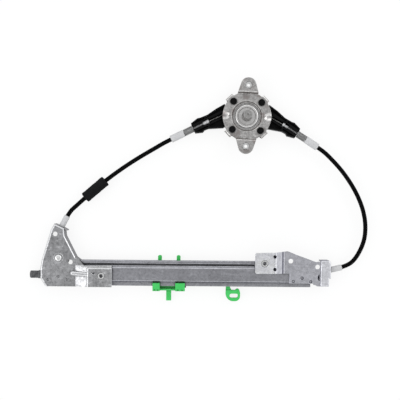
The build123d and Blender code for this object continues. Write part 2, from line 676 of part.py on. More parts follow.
def inner_cable(side):
    """Steel cable from the drum through its guide and conduit to the bracket."""
    held = conduit_points(side)
    if side > 0:
        end = [(SHOE_TURN_X, RIGHT_RUN_Y), (SHOE_TURN_X - SHOE_REACH - 1, RIGHT_RUN_Y)]
        end_radii = [SHOE_BEND_R]
    else:
        end = left_cable_end()
        end_radii = [KINK_R, PULLEY_PITCH_R]
    points = [cable_start(side), on_guide(side, 0)[:2], *held[1:-1], *end]
    radii = [KINK_R, *corner_radii(held), *end_radii]
    path = Plane.XY.offset(CABLE_Z) * FilletPolyline(*points, radius=radii)
    body = sweep(Plane(origin=path @ 0, z_dir=path % 0) * Circle(CABLE_R), path=path)
    print("cable", side, "length", round(path.length, 1),
          "volume ratio", round(body.volume / pi / CABLE_R ** 2 / path.length, 4))
    return body


def foam_sleeve():
    """Foam sleeve round the left conduit."""
    body = rod(FOAM_R, (*FOAM_START, CABLE_Z), (*FOAM_END, CABLE_Z))
    body = fillet(body.edges().filter_by(GeomType.CIRCLE), 1.5)
    path = conduit_path(-1)
    return body - sweep(Plane(origin=path @ 0, z_dir=path % 0) * Circle(CONDUIT_R), path=path)


def behind_wall(side):
    """Space on the inner side of the bracket wall that a ferrule stands on."""
    if side > 0:
        return block((BOX_RIGHT_X - 20, BOX_RIGHT_X), (-250, -200), (FLOOR_Z, 0))
    first, last = FERRULE_WALL_LEFT, FERRULE_WALL_RIGHT
    way = unit_line(first, last)
    deep = (way[1] * 20, -way[0] * 20)
    far_first = (first[0] + deep[0], first[1] + deep[1])
    far_last = (last[0] + deep[0], last[1] + deep[1])
    return prism([first, last, far_last, far_first], FLOOR_Z, 0)


def ferrule(side):
    """White ferrule between the conduit and its bracket wall."""
    def at(distance):
        return (*ferrule_end(side, distance), CABLE_Z)
    body = rod(FERRULE_R, at(-2), at(FERRULE_LENGTH)) - behind_wall(side)
    body = fillet(body.edges().filter_by(GeomType.CIRCLE), 0.6)
    body += rod(FERRULE_NECK_R, at(-FERRULE_NECK), at(1))
    body -= rod(BORE_R, at(-20), at(30))
    return body - rod(CONDUIT_R, at(FERRULE_LENGTH - FERRULE_GRIP), at(FERRULE_LENGTH + 1))


# Rail and brackets

def rail():
    """Galvanised rail with a groove along its upper side and lips on both edges."""
    groove_end = RAIL_GROOVE_Y + RAIL_GROOVE_WIDTH
    strip = RAIL_TOP - RAIL_STRIP_DROP
    band = RAIL_TOP - RAIL_BAND_DROP
    floor = RAIL_TOP - RAIL_GROOVE_DROP
    lip = RAIL_TOP - RAIL_LIP_DROP
    section = sheet_section([
        (RAIL_LIP_Y, lip), (RAIL_STEP_Y, lip), (RAIL_WEB_Y, RAIL_TOP), (RAIL_CREASE_Y, RAIL_TOP),
        (RAIL_STRIP_Y, strip), (RAIL_GROOVE_Y, strip), (RAIL_GROOVE_Y, floor), (groove_end, floor),
        (groove_end, band), (RAIL_EDGE_Y, band), (RAIL_EDGE_Y, RAIL_TOP - RAIL_EDGE_DROP)],
        RAIL_SHEET, RAIL_BEND)
    body = along_x(section, RAIL_LEFT, RAIL_RIGHT)
    under_left = extrude(Plane.XY.offset(FLOOR_Z) * offset(left_outline(), GAP), 30)
    upper = block((RAIL_LEFT - 1, RAMP_HIGH_X), (RAIL_CREASE_Y, RAIL_EDGE_Y + 9), (FLOOR_Z, 0))
    body -= under_left & upper
    low_y = RAIL_LIP_Y - 1
    body -= block((RAIL_LEFT - 1, RAMP_HIGH_X + GAP), (low_y, RAIL_STEP_Y), (FLOOR_Z, 0))
    body -= block((RAIL_UPPER_END, RAIL_RIGHT + 1), (RAIL_CREASE_Y, RAIL_EDGE_Y + 1), (FLOOR_Z, 0))
    return body


def left_outline():
    """Plan outline of the left bracket, with its pad; its lower edge is trimmed later."""
    low_y = BRACKET_BOTTOM_Y - 2 * RIM_BEND - SHEET
    points = [FERRULE_WALL_LEFT, LEFT_SHOULDER, LEFT_EDGE_END, (BRACKET_LEFT_X, LEFT_EDGE_END[1] - 12.5),
              (BRACKET_LEFT_X, BRACKET_BOTTOM_Y + 12.0), (BRACKET_LEFT_X + 7.2, BRACKET_BOTTOM_Y),
              (BRACKET_LEFT_X + 9.0, low_y), (PAD_RIGHT_X, low_y), (PAD_RIGHT_X, PAD_TOP_Y), *LEFT_DIAGONAL,
              LEFT_NECK]
    return make_face(Polyline(*points, close=True))


def under(points, bends, low):
    """Area below a bent line, down to a level."""
    line = FilletPolyline(*points, radius=bends)
    first, last = points[0], points[-1]
    return make_face([*line.edges(), Line(last, (last[0], low)), Line((last[0], low), (first[0], low)),
                      Line((first[0], low), first)])


def pad_space(drop):
    """Space below the raised pad and its ramps, lowered by a sheet thickness."""
    deep = FLOOR_Z - 5
    ramp = under([(RAMP_LOW_X - 9, PLATE_TOP - drop), (RAMP_LOW_X, PLATE_TOP - drop),
                  (RAMP_HIGH_X, RAMP_HIGH_Z - drop), (PAD_LEFT_X, -drop), (PAD_RIGHT_X + 9, -drop)],
                 [PAD_BEND, FOOT_BEND, PAD_BEND], deep)
    slope = under([(BRACKET_BOTTOM_Y - 9, -drop), (PAD_SLOPE_Y, -drop), (PAD_TOP_Y, PLATE_TOP - drop),
                   (RAIL_EDGE_Y + 30, PLATE_TOP - drop)], [SLOPE_BEND, 1.5], deep)
    ramps = along_y(ramp, BRACKET_BOTTOM_Y - 9, RAIL_EDGE_Y + 30)
    return ramps & along_x(slope, RAMP_LOW_X - 9, PAD_RIGHT_X + 9)


def press_joint(at):
    """Pressed joint of two sheets: a small dished mark in the upper one."""
    mark = Cone(JOINT_FLAT_R, JOINT_R, JOINT_DEPTH)
    return Pos(at[0], at[1], PLATE_TOP - JOINT_DEPTH / 2) * mark


def rib_bar(radius):
    """Stiffening rib that crosses the ramp of the pad."""
    start = (RIB_START[0], RIB_START[1], PLATE_TOP + RIB_RISE - RIB_R)
    end = (RIB_END[0], RIB_END[1], -RIB_R - RUN)
    return rod(radius, start, end) + Pos(*start) * Sphere(radius)


def left_bracket():
    """Pressed bracket with a rim, a ferrule wall, a raised pad and a rib."""
    outline = left_outline()
    inside = offset(outline, -SHEET)
    outer = extrude(Plane.XY.offset(FLOOR_Z) * outline, PLATE_TOP - FLOOR_Z)
    outer = fillet(outer.edges().group_by(Axis.Z)[-1], RIM_BEND + SHEET)
    inner = extrude(Plane.XY.offset(FLOOR_Z - 1) * inside, PLATE_TOP - SHEET - FLOOR_Z + 1)
    inner = fillet(inner.edges().group_by(Axis.Z)[-1], RIM_BEND)
    left_of_ramp = block((-WIDE, RAMP_LOW_X), (-WIDE, WIDE), (FLOOR_Z - 2, 5))
    tray = (outer - inner) & left_of_ramp
    right_of_ramp = block((RAMP_LOW_X, WIDE), (-WIDE, WIDE), (FLOOR_Z - 2, 5))
    raised = extrude(Plane.XY.offset(FLOOR_Z) * outline, 30) & right_of_ramp & pad_space(0)
    raised = fillet(raised.edges().filter_by(Axis.Y).group_by(Axis.X)[-1].sort_by(Axis.Z)[-1], EDGE_ROLL)
    hollow = extrude(Plane.XY.offset(FLOOR_Z - 1) * inside, 30)
    hollow += block((PAD_LEFT_X, WIDE), (-WIDE, PAD_TOP_Y + 9), (FLOOR_Z - 1, 5))
    raised -= hollow & pad_space(SHEET)
    body = tray + raised
    body += rib_bar(RIB_R) - block((-WIDE, WIDE), (-WIDE, WIDE), (-WIDE, PLATE_TOP - SHEET))
    body -= rib_bar(RIB_R - SHEET)
    body -= block((-WIDE, WIDE), (-WIDE, BRACKET_BOTTOM_Y), (-WIDE, WIDE))
    wall = [FERRULE_WALL_LEFT, FERRULE_WALL_RIGHT,
            (FERRULE_WALL_RIGHT[0] - 0.6, FERRULE_WALL_RIGHT[1] - SHEET),
            (FERRULE_WALL_LEFT[0] - 0.6, FERRULE_WALL_LEFT[1] - SHEET)]
    body += prism(wall, FLOOR_Z + 3, PLATE_TOP - RIM_BEND)
    body -= rod(FERRULE_NECK_R, (*ferrule_end(-1, -4), CABLE_Z), (*ferrule_end(-1, 3), CABLE_Z))
    body -= block((BRACKET_LEFT_X - 1, BRACKET_LEFT_X + 7), (BRACKET_BOTTOM_Y - 1, BRACKET_BOTTOM_Y + 12),
                  (FLOOR_Z - 1, PLATE_TOP - SHEET - RIM_BEND))
    neck = (BRACKET_LEFT_X - 1, BUFFER_Y, CABLE_Z), (BRACKET_LEFT_X + 3, BUFFER_Y, CABLE_Z)
    body -= rod(BUFFER_NECK_R, *neck)
    boss = disc(RIVET_BOSS_R, PLATE_TOP - 0.5, PLATE_TOP + RIVET_BOSS_H, PULLEY_AT)
    body += chamfer(boss.edges().group_by(Axis.Z)[-1], 0.6)
    body -= disc(RIVET_R, FLOOR_Z, 0, PULLEY_AT)
    for at in LEFT_HOLES:
        body -= disc(HOLE_R, FLOOR_Z, 0, at)
    body -= disc(NUT_FLANGE_R, -SHEET - 1, 1, PAD_NUT)
    body -= Pos(*PAD_DIMPLE, 1.2) * Sphere(3.0)
    for at in LEFT_JOINTS:
        body -= press_joint(at)
    return body


def right_space(drop):
    """Space below the lug, its ramp and the plate of the right bracket."""
    deep = FLOOR_Z - 5
    ramp = under([(LUG_LEFT_X - 9, -drop), (LUG_RIGHT_X, -drop), (STEP_LEFT_X, STEP_TOP_Z - drop),
                  (STEP_RIGHT_X, PLATE_TOP - drop), (BOX_RIGHT_X + 9, PLATE_TOP - drop)],
                 [PAD_BEND, FOOT_BEND, PAD_BEND], deep)
    return along_y(ramp, BOX_BOTTOM_Y - 9, LUG_TOP_Y + 30)


def box_outline():
    """Plan outline of the end box that takes the right cable."""
    points = [(BOX_LEFT_X, BOX_BOTTOM_Y), (BOX_STEP_X, BOX_BOTTOM_Y), (BOX_STEP_X, BOX_STEP_Y),
              (BOX_RIGHT_X, BOX_STEP_Y), (BOX_RIGHT_X, BOX_TOP_Y - 2.6), (BOX_RIGHT_X - 2.6, BOX_TOP_Y),
              (BOX_LEFT_X + 1.0, BOX_TOP_Y)]
    return make_face(Polyline(*points, close=True))


def right_bracket():
    """Bracket with a raised lug, a flat plate and an end box for the cable."""
    box_x = BOX_LEFT_X + 3.0
    points = [(LUG_LEFT_X, LUG_BOTTOM_Y), (PLATE_LEFT_X, LUG_BOTTOM_Y + 0.3), (PLATE_LEFT_X, PLATE_BOTTOM_Y),
              (PLATE_RIGHT_X, PLATE_BOTTOM_Y), (PLATE_RIGHT_X + 7.1, BOX_BOTTOM_Y), (box_x, BOX_BOTTOM_Y),
              (box_x, BOX_TOP_Y - 1.0), *RIGHT_TOP_EDGE, (LUG_RIGHT_X, LUG_TOP_Y + 0.6),
              (LUG_LEFT_X, LUG_TOP_Y)]
    face = make_face(Polyline(*points, close=True))
    body = extrude(Plane.XY.offset(FLOOR_Z) * face, 30) & right_space(0)
    body -= right_space(SHEET)
    body = fillet(body.edges().filter_by(Axis.Z).group_by(Axis.X)[0], 3.0)
    edges = body.edges().filter_by(Axis.Y)
    plate_edge = edges.filter_by_position(Axis.X, PLATE_LEFT_X - RUN, PLATE_LEFT_X + RUN)
    body = fillet(plate_edge.sort_by(Axis.Z)[-1], EDGE_ROLL)
    body -= Pos(LUG_RIGHT_X, 0, SHEET / 2) * Rot(0, 45, 0) * Box(SHEET, WIDE * 2, SHEET)
    outline = box_outline()
    top = PLATE_TOP + BOX_RISE
    outer = extrude(Plane.XY.offset(FLOOR_Z) * outline, top - FLOOR_Z)
    outer = fillet(outer.edges().group_by(Axis.Z)[-1], BOX_EDGE_R)
    inner = extrude(Plane.XY.offset(FLOOR_Z - 1) * offset(outline, -SHEET), top - SHEET - FLOOR_Z + 1)
    inner += block((BOX_LEFT_X - 1, BOX_LEFT_X + 5), (BOX_BOTTOM_Y + SHEET, BOX_TOP_Y - SHEET),
                   (FLOOR_Z - 1, PLATE_TOP - SHEET))
    body = body - (inner & block((BOX_LEFT_X, WIDE), (-WIDE, WIDE), (-WIDE, 5)))
    body += outer - inner
    flange_y = (BOX_BOTTOM_Y, MOON_AT[1] + MOON_R)
    body += block((BOX_LEFT_X - 7.0, BOX_STEP_X - SHEET), flange_y, (FLOOR_Z, FLOOR_Z + SHEET))
    body -= rod(FERRULE_NECK_R, (*ferrule_end(1, -4), CABLE_Z), (*ferrule_end(1, 3), CABLE_Z))
    for at in RIGHT_HOLES:
        body -= disc(HOLE_R, FLOOR_Z, 0, at)
    for at in RIGHT_JOINTS:
        body -= press_joint(at)
    moon = disc(MOON_R, PLATE_TOP - 2 * SHEET, 5, MOON_AT)
    body -= moon & block((0, MOON_RIGHT_X), (-WIDE, WIDE), (-WIDE, 5))
    for y in LUG_NOTCHES:
        place = Pos(LUG_RIGHT_X - 0.3, y, -NOTCH_DEPTH / 2)
        below = Cone(NOTCH_TIP_R + SHEET, NOTCH_R + SHEET, NOTCH_DEPTH - SHEET / 2)
        body += place * Pos(0, 0, -SHEET * 0.75) * below
        body -= place * Cone(NOTCH_TIP_R, NOTCH_R, NOTCH_DEPTH)
        body -= Pos(LUG_RIGHT_X - 0.3, y, SHEET / 2 - RUN) * Cylinder(NOTCH_R, SHEET)
    return body - disc(NUT_FLANGE_R, -SHEET - 1, 1, LUG_NUT)


def cable_shoe():
    """Guide inside the end box that bends the cable into line with the rail."""
    centre = (SHOE_TURN_X - SHOE_REACH, RIGHT_RUN_Y + SHOE_BEND_R)
    outer_r = SHOE_BEND_R - CABLE_R
    ring = tube(outer_r, outer_r - SHOE_THICKNESS, CABLE_Z - 3, PLATE_TOP - SHEET, centre)
    lips = tube(outer_r + 1.6, outer_r - 1.0, CABLE_Z - 3, CABLE_Z - 1.6, centre)
    keep = block((centre[0] - 5.0, centre[0] + 10.0), (RIGHT_RUN_Y - 4, RIGHT_RUN_Y + 9), (FLOOR_Z, 0))
    return (ring + lips) & keep


def pulley():
    """Plastic pulley behind the left bracket."""
    half = PULLEY_WIDTH / 2
    outer = PULLEY_PITCH_R + 1.2
    floor = PULLEY_PITCH_R - CABLE_R - GAP
    wheel = disc(outer, CABLE_Z - half, CABLE_Z + half, PULLEY_AT)
    wheel = fillet(wheel.edges().filter_by(GeomType.CIRCLE), 0.4)
    wheel -= tube(outer + 1, floor, CABLE_Z - half + PULLEY_FLANGE, CABLE_Z + half - PULLEY_FLANGE, PULLEY_AT)
    for side in (-1, 1):
        low, high = sorted((CABLE_Z + side * 1.2, CABLE_Z + side * (half + 1)))
        wheel -= tube(floor - 2.2, RIVET_R + 2.6, low, high, PULLEY_AT)
    return wheel - disc(RIVET_R + RUN, FLOOR_Z, 0, PULLEY_AT)


def pulley_rivet():
    """Shouldered rivet that carries the pulley."""
    head_low = PLATE_TOP + RIVET_BOSS_H
    head = disc(RIVET_HEAD_R, head_low, head_low + 2.4, PULLEY_AT)
    head = fillet(head.edges().group_by(Axis.Z)[-1], 2.1)
    half = PULLEY_WIDTH / 2
    shoulder = disc(RIVET_R + 2.2, CABLE_Z + half + GAP, PLATE_TOP - SHEET, PULLEY_AT)
    washer_low = CABLE_Z - half - GAP - WASHER_T
    pin = disc(RIVET_R, washer_low - 1.4, head_low, PULLEY_AT)
    upset = disc(RIVET_R + 1.0, washer_low - 1.4, washer_low, PULLEY_AT)
    return head + shoulder + pin + upset


def pulley_washer():
    """Washer between the pulley and the upset end of its rivet."""
    high = CABLE_Z - PULLEY_WIDTH / 2 - GAP
    return tube(RIVET_R + 4.0, RIVET_R, high - WASHER_T, high, PULLEY_AT)


def end_buffer():
    """Rubber buffer on the left bracket, with a neck through its rim."""
    def along(x):
        return x, BUFFER_Y, CABLE_Z
    tip = BRACKET_LEFT_X - BUFFER_LENGTH
    body = rod(BUFFER_R, along(tip), along(BRACKET_LEFT_X))
    body = fillet(body.edges().filter_by(GeomType.CIRCLE).group_by(Axis.X)[0], 1.2)
    body += rod(BUFFER_R + 0.6, along(BRACKET_LEFT_X - 3.5), along(BRACKET_LEFT_X))
    for i in range(3):
        x = tip + 4.0 + 3.2 * i
        body -= rod(BUFFER_R + 1, along(x), along(x + 0.8)) - rod(BUFFER_R - 0.5, along(x - 1), along(x + 2))
    body += rod(BUFFER_NECK_R, along(BRACKET_LEFT_X), along(BRACKET_LEFT_X + SHEET))
    return body + rod(BUFFER_NECK_R + 0.5, along(BRACKET_LEFT_X + SHEET), along(BRACKET_LEFT_X + SHEET + 2))


# Glass carrier, which slides along the rail

def jaw(low_x, width):
    """Hook of the carrier that grips the lower lip of the rail."""
    lip = RAIL_TOP - RAIL_LIP_DROP
    x = (low_x, low_x + width)
    hook = block(x, (JAW_OUT_Y, RAIL_STEP_Y - 0.5), (CARRIER_FLOOR, RAIL_TOP + GAP))
    hook += block(x, (JAW_OUT_Y, RAIL_STEP_Y - 0.8), (RAIL_TOP + GAP, JAW_TOP))
    hook = chamfer(hook.edges().filter_by(Axis.X).group_by(Axis.Z)[-1], 0.8)
    mouth = (LINER_Y, RAIL_WEB_Y + 2)
    hook -= block((low_x - 1, low_x + width + 1), mouth, (lip - RAIL_SHEET - GAP - LINER, lip + GAP))
    for share in (0.28, 0.72):
        notch_x = low_x + width * share
        hook -= block((notch_x - 1.1, notch_x + 1.1), (JAW_OUT_Y + 1.0, JAW_OUT_Y + 2.4), (JAW_TOP - 1.6, 0))
    return hook


def carrier_loop():
    """Hook-shaped loop at the right end of the carrier."""
    slab_top = CARRIER_FLOOR + CARRIER_SLAB
    high = slab_top + 2.4
    outer = block((LOOP_LEFT_X, LOOP_RIGHT_X), (LOOP_BOTTOM_Y, LOOP_BAR_Y), (CARRIER_FLOOR, high))
    corners = outer.edges().filter_by(Axis.Z).sort_by(Axis.Y)
    lower = corners[0:2].sort_by(Axis.X)
    outer = fillet(lower[0], 11.0)
    right = outer.edges().filter_by(Axis.Z).sort_by(Axis.X)[-2:].sort_by(Axis.Y)
    outer = fillet(right[0], 7.5)
    upper = outer.edges().filter_by(Axis.Z).filter_by_position(Axis.Y, LOOP_BAR_Y - RUN, LOOP_BAR_Y + RUN)
    outer = fillet(upper.sort_by(Axis.X)[-1], 4.0)
    hole = block((LOOP_HOLE_LEFT_X, LOOP_HOLE_RIGHT_X), (LOOP_HOLE_BOTTOM_Y, LOOP_HOLE_TOP_Y),
                 (CARRIER_FLOOR - 1, high + 1))
    hole = fillet(hole.edges().filter_by(Axis.Z), 2.6)
    bump = disc(3.2, CARRIER_FLOOR, high, (LOOP_RIGHT_X - 4.0, LOOP_BAR_Y - 1.2))
    corners = [(LOOP_LEFT_X, LOOP_BAR_Y - 7), (LOOP_LEFT_X + 0.4, ARM_LOW_Y), (LOOP_LEFT_X + 4.8, ARM_LOW_Y),
               (LOOP_LEFT_X + 9.0, LOOP_BAR_Y - 1)]
    root = prism(corners, CARRIER_FLOOR, slab_top + 1.2)
    return outer - hole + bump + root


def carrier():
    """Green carrier: slab behind the rail, jaws, fingers, stem, arm and loop."""
    slab_top = CARRIER_FLOOR + CARRIER_SLAB
    right = RIGHT_JAW_X + RIGHT_JAW_WIDTH
    body = block((CARRIER_LEFT_X, right), (CARRIER_BOTTOM_Y, CARRIER_TOP_Y), (CARRIER_FLOOR, slab_top))
    for x in ((CARRIER_LEFT_X + 4, STEM_X - 14), (STEM_X + 14, right - 4)):
        body -= block(x, (CARRIER_BOTTOM_Y + 12, CARRIER_TOP_Y - 14), (CARRIER_FLOOR + 1.6, slab_top + 1))
    body += block((CARRIER_LEFT_X, LOOP_LEFT_X + 8), (ARM_LOW_Y, ARM_HIGH_Y), (CARRIER_FLOOR, slab_top))
    body += carrier_loop()
    body += jaw(CARRIER_LEFT_X, LEFT_JAW_WIDTH)
    body += jaw(RIGHT_JAW_X, RIGHT_JAW_WIDTH)
    rim_x = (CARRIER_LEFT_X + LEFT_JAW_WIDTH, RIGHT_JAW_X)
    body += block(rim_x, (JAW_OUT_Y, CARRIER_BOTTOM_Y + 0.8), (CARRIER_FLOOR, slab_top + 4))
    stem = block((STEM_X - STEM_WIDTH / 2, STEM_X + STEM_WIDTH / 2), (STEM_END_Y, CARRIER_BOTTOM_Y),
                 (CARRIER_FLOOR, slab_top + 2))
    body += chamfer(stem.edges().filter_by(Axis.X).group_by(Axis.Y)[0], 0.8)
    for x in FINGERS_X:
        finger = block((x - FINGER_WIDTH / 2, x + FINGER_WIDTH / 2), (CARRIER_TOP_Y - 1, FINGER_END_Y),
                       (CARRIER_FLOOR, slab_top))
        body += fillet(finger.edges().filter_by(Axis.Z).group_by(Axis.Y)[-1], 2.0)
    rib_low = RAIL_GROOVE_Y + RAIL_GROOVE_WIDTH + RAIL_SHEET + GAP
    rib_high = RAIL_EDGE_Y - RAIL_SHEET - GAP
    rib_top = RAIL_TOP - RAIL_BAND_DROP - RAIL_SHEET - GAP
    body += block((CARRIER_LEFT_X, right), (rib_low, rib_high), (slab_top - 1, rib_top))
    holder = block((NIPPLE_X - BLOCK_HALF, NIPPLE_X + BLOCK_HALF), (RIGHT_RUN_Y - 4, LEFT_RUN_Y + 1.75),
                   (slab_top - 1, CABLE_Z + NIPPLE_R + 1.6))
    left_seat = (NIPPLE_X - 2 - NIPPLE_LENGTH, NIPPLE_X - 2)
    right_seat = (NIPPLE_X + 2, NIPPLE_X + 2 + NIPPLE_LENGTH)
    slot = CABLE_R + GAP
    for seat, y, way in ((left_seat, LEFT_RUN_Y, -1), (right_seat, RIGHT_RUN_Y, 1)):
        holder -= block(seat, (y - NIPPLE_R, y + NIPPLE_R), (CABLE_Z - NIPPLE_R, 0))
        run = sorted((NIPPLE_X, NIPPLE_X + way * (BLOCK_HALF + 1)))
        holder -= block(run, (y - slot, y + slot), (CABLE_Z - slot, 0))
    return body + holder


def slide_pads():
    """Dark liners inside the jaws, against the lower lip."""
    lip = RAIL_TOP - RAIL_LIP_DROP
    low = lip - RAIL_SHEET - GAP - LINER
    pads = []
    for low_x, width in ((CARRIER_LEFT_X, LEFT_JAW_WIDTH), (RIGHT_JAW_X, RIGHT_JAW_WIDTH + 1.6)):
        flat = block((low_x, low_x + width), (LINER_Y, RAIL_STEP_Y - 1), (low, low + LINER))
        upright = block((low_x, low_x + width), (LINER_Y, RAIL_LIP_Y - GAP), (low, lip + GAP))
        pads.append(flat + upright)
    return pads


def carrier_nipples():
    """Cable ends held in the carrier."""
    nipples = []
    for way, y in ((-1, LEFT_RUN_Y), (1, RIGHT_RUN_Y)):
        near = (NIPPLE_X + way * 2, y, CABLE_Z)
        far = (NIPPLE_X + way * (2 + NIPPLE_LENGTH), y, CABLE_Z)
        nipples.append(rod(NIPPLE_R, near, far))
    return nipples


def run_left():
    """Cable behind the rail, from the pulley to the carrier."""
    nipple_end = NIPPLE_X - 2 - NIPPLE_LENGTH
    return rod(CABLE_R, (PULLEY_X + 2, LEFT_RUN_Y, CABLE_Z), (nipple_end, LEFT_RUN_Y, CABLE_Z))


def run_right():
    """Cable behind the rail, from the shoe to the carrier."""
    return rod(CABLE_R, (NIPPLE_X + 2 + NIPPLE_LENGTH, RIGHT_RUN_Y, CABLE_Z),
               (SHOE_TURN_X - SHOE_REACH - 1, RIGHT_RUN_Y, CABLE_Z))


def save(name, *shapes):
    """Write one node; several shapes stay separate solids in it."""
    solids = [solid for shape in shapes for solid in shape.solids()]
    export_step(solids[0] if len(solids) == 1 else Compound(children=solids), f"parts/{name}.step")


save("cover_plate", UNIT * cover_plate())
save("peg_heads", *[UNIT * peg for peg in peg_heads()])
save("ear_nuts", *[UNIT * clinch_nut((0, side * EAR_HOLE_Y)) for side in (-1, 1)])
save("brake_cup", UNIT * brake_cup())
save("wrap_spring", UNIT * wrap_spring())
save("crank_shaft", UNIT * crank_shaft())
save("drive_dog", UNIT * drive_dog())
save("drum", UNIT * drum())
save("drum_windings", drum_windings())
save("drum_housing", UNIT * drum_housing())
for side_name, side_sign in (("left", -1), ("right", 1)):
    save(f"cable_guide_{side_name}", cable_guide(side_sign))
    save(f"tension_spring_{side_name}", tension_spring(side_sign))
    save(f"sleeve_{side_name}", sleeve(side_sign))
    save(f"conduit_{side_name}", conduit(side_sign))
    save(f"inner_cable_{side_name}", inner_cable(side_sign))
    save(f"ferrule_{side_name}", ferrule(side_sign))
save("foam_sleeve", foam_sleeve())
save("rail", rail())
save("left_bracket", left_bracket())
save("right_bracket", right_bracket())
save("pad_nut", clinch_nut(PAD_NUT))
save("lug_nut", clinch_nut(LUG_NUT))
save("cable_shoe", cable_shoe())
save("pulley", pulley())
save("pulley_rivet", pulley_rivet())
save("pulley_washer", pulley_washer())
save("end_buffer", end_buffer())
save("carrier", carrier())
save("slide_pads", *slide_pads())
save("carrier_nipples", *carrier_nipples())
save("run_cable_left", run_left())
save("run_cable_right", run_right())
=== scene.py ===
import json
import math

import bpy
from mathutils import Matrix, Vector, noise


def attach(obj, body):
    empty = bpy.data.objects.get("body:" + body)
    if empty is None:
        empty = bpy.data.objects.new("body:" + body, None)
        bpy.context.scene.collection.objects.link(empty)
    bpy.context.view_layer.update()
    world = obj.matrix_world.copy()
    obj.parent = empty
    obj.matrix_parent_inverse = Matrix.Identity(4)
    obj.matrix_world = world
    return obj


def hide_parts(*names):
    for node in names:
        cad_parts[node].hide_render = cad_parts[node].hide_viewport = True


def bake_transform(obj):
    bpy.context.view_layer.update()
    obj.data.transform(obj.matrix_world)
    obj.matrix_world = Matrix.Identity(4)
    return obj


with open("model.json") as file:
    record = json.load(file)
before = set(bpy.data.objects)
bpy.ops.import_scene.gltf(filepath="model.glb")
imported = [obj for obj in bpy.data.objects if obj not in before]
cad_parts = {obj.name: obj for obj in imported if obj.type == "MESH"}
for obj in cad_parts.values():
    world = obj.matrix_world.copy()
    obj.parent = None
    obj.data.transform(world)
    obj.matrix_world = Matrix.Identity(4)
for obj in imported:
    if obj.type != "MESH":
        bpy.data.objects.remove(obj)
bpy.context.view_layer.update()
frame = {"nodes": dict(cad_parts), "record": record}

MM = 0.001
BASE = "base"
CABLE_Z = -14.0
FLOOR_Z = -25.0

# Routes of the two conduits, from the sleeve to the ferrule, in millimetres
LEFT_ROUTE = [(-102.54, -30.44), (-118.69, -38.39), (-131.5, -46.2), (-151.0, -57.6), (-171.5, -70.6),
              (-190.0, -83.6), (-207.0, -96.6), (-222.0, -109.2), (-235.8, -121.4), (-248.2, -132.8),
              (-257.42, -141.13), (-264.42, -154.40)]
RIGHT_ROUTE = [(96.76, -39.31), (111.85, -49.11), (122.0, -58.6), (137.0, -74.3), (150.8, -92.6),
               (162.9, -113.2), (171.8, -135.5), (175.6, -158.5), (173.4, -181.8), (161.8, -205.6),
               (148.82, -217.14), (132.75, -220.88)]
CONDUIT_R = 3.22
CONDUIT_BORE_R = 1.3
CONDUIT_AROUND = 20
CONDUIT_STEP = 0.58
RIB_PITCH = 2.9
RIB_DEPTH = 0.16
ROUTE_STEPS = 40

# Foam sleeve on the left conduit; each crease is its place along the sleeve, depth, width, lean and the
# angle at which the lean is greatest
FOAM_START = (-205.6, -95.3)
FOAM_END = (-235.2, -120.8)
FOAM_R = 8.2
FOAM_SLACK = 0.38
FOAM_EDGE_R = 1.5
FOAM_STATIONS = 96
FOAM_AROUND = 72
FOAM_LUMPS = ((1.0, 0.28), (4.3, 0.10))
FOAM_CREASES = ((13.4, 0.30, 0.9, 0.8, 0.0), (27.0, 0.22, 0.8, 1.1, math.pi / 2))

# Straight cables behind the rail: where each starts, where it meets the carrier, and its height in plan
CABLE_R = 0.9
LEFT_RUN = (-269.6, -121.0, -221.5)
RIGHT_RUN = (105.3, -103.0, -226.5)
OUTER_WIRES = 6
WIRE_AROUND = 6
WIRE_SWELL = 1.04
WIRE_STEP = 1.6
WIRE_LAY = 9.5


# Materials

